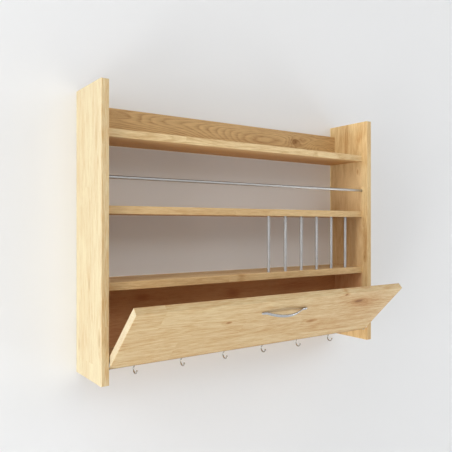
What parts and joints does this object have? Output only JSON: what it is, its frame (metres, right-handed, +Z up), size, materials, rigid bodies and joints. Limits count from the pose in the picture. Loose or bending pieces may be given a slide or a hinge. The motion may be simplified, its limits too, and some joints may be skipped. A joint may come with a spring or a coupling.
{
  "type": "wall plate rack",
  "caption": "Wall-hung wooden plate rack: open shelves between two side panels, a cross rod, upright divider rods, a drop-down flap with a bow handle, and cup hooks below.",
  "frame": {"origin": "on the wall plane, midway between the round entries of the two keyhole hangers", "axes": "+Z up, +X to the right seen from the room, +Y into the wall, so the front faces -Y"},
  "size_m": [0.9, 0.2935, 0.694],
  "materials": {
    "oak": "oiled, satin",
    "beech": "raw",
    "satin_steel": "satin",
    "satin_nickel": "satin nickel plate",
    "zinc_steel": "zinc plate",
    "white_nylon": "matt"
  },
  "bodies": {
    "rack": {"left_side_panel": "oak", "right_side_panel": "oak", "back_rail": "oak", "top_shelf": "oak", "middle_shelf": "oak", "lower_shelf": "oak", "bottom_board": "oak", "box_back": "oak", "cross_rod": "satin_steel", "divider_rod_1": "satin_steel", "divider_rod_2": "satin_steel", "divider_rod_3": "satin_steel", "divider_rod_4": "satin_steel", "divider_rod_5": "satin_steel", "divider_rod_6": "satin_steel", "pivot_bush_left": "white_nylon", "pivot_bush_right": "white_nylon", "stop_pin_left": "zinc_steel", "stop_pin_right": "zinc_steel", "cup_hook_1": "satin_nickel", "cup_hook_2": "satin_nickel", "cup_hook_3": "satin_nickel", "cup_hook_4": "satin_nickel", "cup_hook_5": "satin_nickel", "cup_hook_6": "satin_nickel", "hanger_plate_left": "zinc_steel", "hanger_plate_right": "zinc_steel", "hanger_screws": "zinc_steel", "dowels_left": "beech", "dowels_right": "beech"},
    "flap": {"flap_panel": "oak", "flap_handle": "satin_nickel", "handle_screws": "zinc_steel", "pivot_pin_left": "zinc_steel", "pivot_pin_right": "zinc_steel"}
  },
  "joints": [
    {"name": "flap_hinge", "type": "hinge", "parent": "rack", "child": "flap", "pos_m": [0, -0.152, -0.5745], "axis": [1, 0, 0], "range_deg": [-45, 0]}
  ]
}
